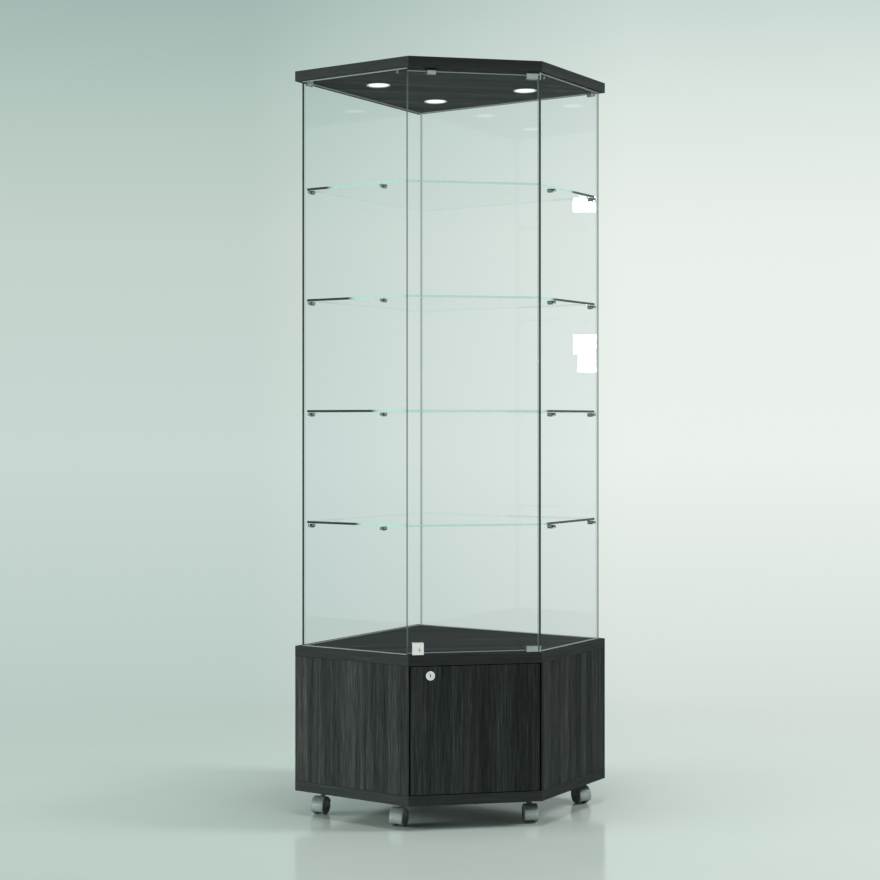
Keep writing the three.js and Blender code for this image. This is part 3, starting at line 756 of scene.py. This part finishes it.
def key_form(low, high):
    """Block between two corners, with rounded edges."""
    form = bmesh.new()
    bmesh.ops.create_cube(form, size=1.0)
    for vertex in form.verts:
        vertex.co = [a + (b - a) * (c + 0.5) for a, b, c in zip(low, high, vertex.co)]
    bmesh.ops.bevel(
        form,
        geom=form.edges[:],
        offset=KEY_EDGE,
        segments=KEY_EDGE_SEGMENTS,
        affect="EDGES",
        profile=0.5,
    )
    bmesh.ops.recalc_face_normals(form, faces=form.faces[:])
    return form


def axis_matrix(origin, along):
    """Frame at origin whose Z points along a level axis and whose Y points up."""
    z = Vector(along).normalized()
    x = Vector(UPWARDS).cross(z).normalized()
    turn = Matrix((x, z.cross(x), z)).transposed().to_4x4()
    return Matrix.Translation(origin) @ turn


def move(form, matrix):
    bmesh.ops.transform(form, matrix=matrix, verts=form.verts[:])
    bmesh.ops.recalc_face_normals(form, faces=form.faces[:])


def lens_form():
    """Shallow dome that looks down, its rim at height zero."""
    form = bmesh.new()
    shares = [k / LENS_RINGS for k in range(LENS_RINGS + 1)]
    dome = [(-LENS_BULGE * (1 - share**2), LENS_RADIUS * share) for share in shares]
    turned(form, dome + [(LENS_RIM, LENS_RADIUS), (LENS_RIM, 0.0)], FINE_STEPS)
    return form


def make_downlights(metal_look, lens_look):
    """Each lamp is a turned bezel with a stepped throat and a frosted lens."""
    for side in ("back", "left", "right"):
        node = f"downlight_{side}"
        low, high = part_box(node)
        centre = Vector(((low.x + high.x) / 2, (low.y + high.y) / 2, low.z))
        bezel = bmesh.new()
        turned(bezel, BEZEL_PROFILE, FINE_STEPS)
        move(bezel, Matrix.Translation(centre))
        add_piece(f"bezel_{side}", bezel, metal_look, "cabinet", "lamp", node)
        lens = lens_form()
        move(lens, Matrix.Translation(centre + Vector((0.0, 0.0, LENS_SEAT))))
        add_piece(f"lens_{side}", lens, lens_look, "cabinet", "lamp", node)


def make_key_slots(look):
    """Near-black blocks in the key slots of both locks: painted shade in the keyways."""
    for lock, (x, z, height) in KEY_SLOTS.items():
        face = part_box(f"{lock}_lock_barrel")[0].y
        front, back = KEY_DEPTHS
        low = (x - KEY_WIDTH / 2, face + front, z - height / 2)
        high = (x + KEY_WIDTH / 2, face + back, z + height / 2)
        add_piece(f"keyway_shade_{lock}", key_form(low, high), look, f"{lock}_lock", "fittings")


def make_studs(look):
    """A rounded rod with a flat for the shelf, a shank through the pane and a head outside."""
    outward = {"left": (-DIAGONAL, -DIAGONAL, 0.0), "right": (DIAGONAL, -DIAGONAL, 0.0)}
    for number in SHELF_ENDS:
        for side in SIDES:
            for place in ("back", "front"):
                node = f"shelf_stud_{number}_{side}_{place}"
                low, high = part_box(node)
                form = bmesh.new()
                turned(form, STUD_PROFILE, STUD_STEPS)
                for vertex in form.verts:
                    if vertex.co.z < STUD_ROD:
                        vertex.co.y = min(vertex.co.y, STUD_SEAT)
                along = Vector(outward[side])
                inner_end = (low + high) / 2 - along * STUD_MIDDLE
                move(form, axis_matrix(inner_end, along))
                name = f"stud_{number}_{side}_{place}"
                add_piece(name, form, look, "cabinet", "fittings", node)


def sweep_hood(form):
    """Sweeps the hood's section round the wheel axis. Both ends thin out over their last steps."""
    start, end = math.radians(HOOD_BACK), math.radians(HOOD_FRONT)
    shoulder = [(-x, r) for x, r in reversed(HOOD_SHOULDER)]
    section = [*HOOD_SHOULDER, (HOOD_FLAT, HOOD_OUTER), (-HOOD_FLAT, HOOD_OUTER), *shoulder]
    rings = []
    for i in range(HOOD_STEPS + 1):
        angle = start + (end - start) * i / HOOD_STEPS
        last = min(i, HOOD_STEPS - i)
        thick = HOOD_THINNING[last] if last < len(HOOD_THINNING) else 1.0
        ring = []
        for x, r in section:
            radius = HOOD_INNER + (r - HOOD_INNER) * thick
            ring.append(form.verts.new((x, -radius * math.sin(angle), radius * math.cos(angle))))
        rings.append(ring)
    for lower, upper in zip(rings, rings[1:]):
        close_round(form, lower, upper)
    form.faces.new(rings[0])
    form.faces.new(list(reversed(rings[-1])))


def close_round(form, lower, upper):
    """Joins two closed rows of as many vertices by four-sided faces."""
    for k in range(len(lower)):
        n = (k + 1) % len(lower)
        form.faces.new((lower[k], lower[n], upper[n], upper[k]))


def add_web(form):
    """Plate between the wheels, from the hood down round the boss."""
    outline = []
    for i in range(WEB_STEPS + 1):
        turn = (HOOD_FRONT - HOOD_BACK - 2 * WEB_MARGIN) * i / WEB_STEPS
        angle = math.radians(HOOD_BACK + WEB_MARGIN + turn)
        outline.append((-WEB_RADIUS * math.sin(angle), WEB_RADIUS * math.cos(angle)))
    outline.extend(WEB_FOOT)
    faces = [[form.verts.new((x, y, z)) for y, z in outline] for x in (-WEB_HALF, WEB_HALF)]
    for corners in faces:
        form.faces.new(corners)
    close_round(form, *faces)


def make_casters(housing_look, wheel_look, steel_look):
    """Twin-wheel casters: a hood, a web between the wheels, a boss, a neck and a stem."""
    sideways = Matrix.Rotation(math.pi / 2, 4, "Y")
    swivel = Matrix.Translation((0.0, CASTER_TRAIL, 0.0))
    for place, degrees in CASTER_TURNS.items():
        node = f"caster_wheels_{place}"
        low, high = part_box(node)
        turn = Matrix.Rotation(math.radians(degrees), 4, "Z")
        pose = Matrix.Translation((low + high) / 2) @ turn

        wheels = bmesh.new()
        for side in (-1, 1):
            turned(wheels, [(side * x, r) for x, r in WHEEL_PROFILE], FINE_STEPS)
        turned(wheels, AXLE_PROFILE, COARSE_STEPS)
        move(wheels, pose @ sideways)
        add_piece(f"wheels_{place}", wheels, wheel_look, f"wheels_{place}", "caster_wheel", node)

        housing = bmesh.new()
        sweep_hood(housing)
        add_web(housing)
        boss = turned(housing, BOSS_PROFILE)
        bmesh.ops.transform(housing, matrix=sideways, verts=boss)
        neck = turned(housing, NECK_PROFILE)
        bmesh.ops.transform(housing, matrix=swivel, verts=neck)
        move(housing, pose)
        node = f"caster_housing_{place}"
        body = f"caster_{place}"
        add_piece(f"housing_{place}", housing, housing_look, body, "caster_housing", node)

        stem = bmesh.new()
        turned(stem, STEM_PROFILE)
        move(stem, pose @ swivel)
        add_piece(f"stem_{place}", stem, steel_look, body, "caster_housing", node)


def dress_fittings():
    looks = {name: metal(name, *look) for name, look in METALS.items()}
    looks.update({name: plastic(name, *look) for name, look in PLASTICS.items()})
    for start, look in FITTING_LOOKS:
        for name, node in nodes.items():
            if name.startswith(start):
                set_material(node, looks[look])
    softened = ["glass_hinge_lower", "glass_hinge_upper", "glass_lock_case", "catch_magnet"]
    softened += [f"{part}_{side}" for part in ("corner_bracket", "front_clip") for side in SIDES]
    for name in softened:
        soften(nodes[name], METAL_EDGE, angle=FITTING_BEND_ANGLE)
    soften(nodes["catch_plate"], PLATE_EDGE, 1, FITTING_BEND_ANGLE)
    make_key_slots(looks["keyway_shade"])
    make_studs(looks["stud_steel"])
    make_downlights(looks["bezel"], lens_material())
    make_casters(looks["caster_housing"], looks["caster_wheel"], looks["satin_steel"])


def make_camera():
    data = bpy.data.cameras.new("camera")
    data.sensor_width = SENSOR
    data.lens = FOCAL_PIXELS * SENSOR / PICTURE
    data.shift_x = (PICTURE / 2 - CENTRE_PIXEL) / PICTURE
    data.shift_y = (HORIZON_PIXEL - PICTURE / 2) / PICTURE
    camera = bpy.data.objects.new("camera", data)
    camera.location = CAMERA_PLACE
    camera.rotation_euler = (math.pi / 2, 0.0, CAMERA_TURN - math.pi / 2)
    bpy.context.scene.collection.objects.link(camera)
    bpy.context.scene.camera = camera


def make_world():
    """Pale room. Seen and mirrored, it fades upwards and to the left. As a light, it is stronger
    from behind and from a low wall on the left."""
    s = Shader("room", world=True)
    direction = s.add("TexCoord").outputs["Generated"]
    x, y, z = s.parts(direction)
    height = s.spread(z, ROOM_HEIGHTS)
    across = (math.sin(CAMERA_TURN), -math.cos(CAMERA_TURN), 0.0)
    side = s.spread(s.vector("DOT_PRODUCT", direction, across, 1), ROOM_WIDTHS)
    tint = s.blend(side, s.ramp(height, ROOM_LEFT_TINTS), WHITE)
    colour = s.blend(1.0, s.ramp(height, ROOM_COLOURS), tint, "MULTIPLY")
    seen = s.add("Background", {0: colour, 1: 1.0}).outputs[0]
    behind = s.spread(y, ROOM_DEPTHS, ROOM_POWERS)
    wall = s.math("MULTIPLY", s.spread(x, WALL_REACH, (0.0, WALL_POWER)), s.spread(z, WALL_HEIGHTS))
    power = s.math("ADD", behind, wall)
    light = s.add("Background", {0: ROOM_LIGHT, 1: power}).outputs[0]
    path = s.add("LightPath").outputs
    mirrored = s.math("MAXIMUM", path["Is Glossy Ray"], path["Is Transmission Ray"])
    direct = s.math("MAXIMUM", path["Is Camera Ray"], mirrored)
    s.add("OutputWorld", {"Surface": s.mix(direct, light, seen)})
    bpy.context.scene.world = s.owner


def make_floor():
    """Pale polished floor that fades into the room at its rim."""
    mesh = bpy.data.meshes.new("floor")
    form = bmesh.new()
    bmesh.ops.create_circle(form, cap_ends=True, segments=FLOOR_SEGMENTS, radius=FLOOR_RADIUS)
    form.to_mesh(mesh)
    form.free()
    floor = bpy.data.objects.new("floor", mesh)
    bpy.context.scene.collection.objects.link(floor)
    s = Shader("floor")
    place = s.place()
    surface = s.principled(
        Base_Color=s.ramp(s.noise(place, *FLOOR_TONES), FLOOR_TINTS),
        Roughness=s.scaled(s.noise(place, *FLOOR_POLISH), FLOOR_ROUGH_RANGE, FLOOR_ROUGH),
        IOR=FLOOR_IOR,
    )
    reach = s.vector("LENGTH", place, (0.0, 0.0, 0.0), 1)
    clear = s.add("BsdfTransparent").outputs[0]
    set_material(floor, s.finish(s.mix(s.spread(reach, FLOOR_FADE), surface, clear)))


def area_lamp(name, place, target, size, power, colour=WHITE, mirrored=False):
    """Soft lamp that the camera doesn't see. Only a mirrored one shows in glass and metal."""
    data = bpy.data.lights.new(name, "AREA")
    data.shape = "RECTANGLE"
    data.size, data.size_y = size
    data.energy = power
    data.color = colour
    lamp = bpy.data.objects.new(name, data)
    lamp.location = place
    lamp.rotation_euler = (Vector(target) - Vector(place)).to_track_quat("-Z", "Y").to_euler()
    lamp.visible_camera = False
    lamp.visible_glossy = mirrored
    bpy.context.scene.collection.objects.link(lamp)


def make_lamps():
    for name, lamp in LAMPS.items():
        area_lamp(name, *lamp)
    for name, (low, high, near, far) in WINDOWS.items():
        place = (WINDOW_X, (near + far) / 2, (low + high) / 2)
        target = (0.0, place[1], place[2])
        width, height = far - near, high - low
        power = WINDOW_POWER * width * height
        area_lamp(name, place, target, (width, height), power, mirrored=True)


def main():
    make_camera()
    make_world()
    make_floor()
    make_lamps()
    dress_wood()
    dress_glass()
    dress_fittings()
    bpy.context.scene.view_settings.view_transform = "Standard"


main()
